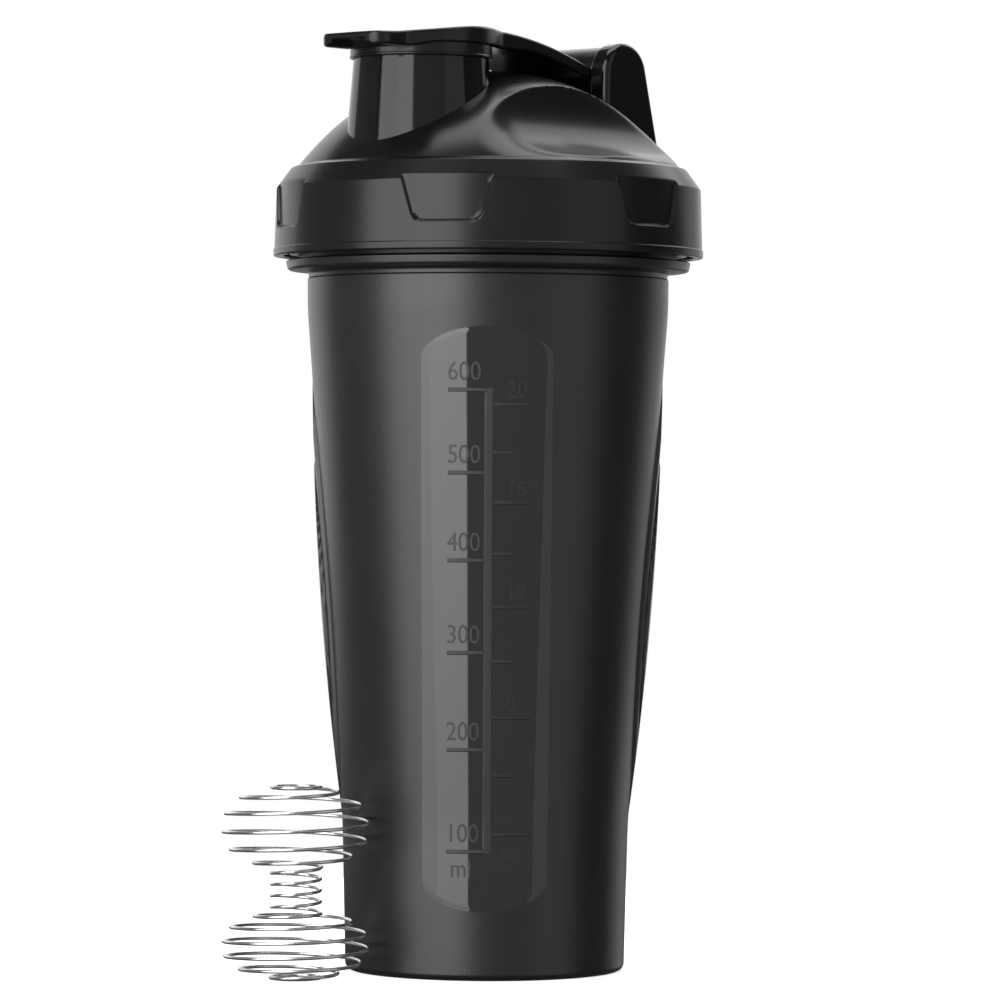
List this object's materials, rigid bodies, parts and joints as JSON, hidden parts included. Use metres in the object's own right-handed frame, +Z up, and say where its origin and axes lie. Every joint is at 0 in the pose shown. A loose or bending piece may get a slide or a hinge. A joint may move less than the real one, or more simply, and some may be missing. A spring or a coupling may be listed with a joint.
{
  "type": "protein shaker bottle",
  "caption": "Tapered shaker cup with a graduated window, screw lid with a drinking spout and hinged flip cap, soft seals and a loose wire mixer.",
  "frame": {"origin": "middle of the cup's flat base", "axes": "+Z up along the cup's axis, -Y towards the graduated window, +X to the right as seen from the window side"},
  "size_m": [0.1169, 0.1064, 0.231],
  "materials": {
    "cup_plastic": "frosted, fine grain, with a smooth glossy window",
    "lid_plastic": "satin",
    "silicone": "soft matt",
    "stainless_wire": "bright drawn wire"
  },
  "bodies": {
    "cup": {"cup": "cup_plastic"},
    "seal_ring": {"lid_gasket": "silicone"},
    "lid": {"lid": "lid_plastic"},
    "flip_cap": {"flip_cap": "lid_plastic", "spout_seal": "silicone"},
    "mixer": {"wire_mixer": "stainless_wire"}
  },
  "joints": [
    {"name": "lid_lift", "type": "slide", "parent": "cup", "child": "seal_ring", "axis": [0, 0, 1], "range_m": [0, 0.00626]},
    {"name": "lid_turn", "type": "hinge", "parent": "seal_ring", "child": "lid", "pos_m": [0, 0, 0.176], "axis": [0, 0, 1], "range_deg": [0, 450]},
    {"name": "cap_open", "type": "hinge", "parent": "lid", "child": "flip_cap", "pos_m": [0.0206, 0.0237, 0.2222], "axis": [-0.7547, 0.6561, 0], "range_deg": [0, 130]},
    {"name": "mixer_lift", "type": "slide", "parent": "cup", "child": "mixer", "axis": [-0.286, -0.1875, 0.9397], "range_m": [0, 0.06]}
  ],
  "couplings": [
    {"joint": "lid_lift", "follows": "lid_turn", "m_per_rad": 0.00079577}
  ]
}
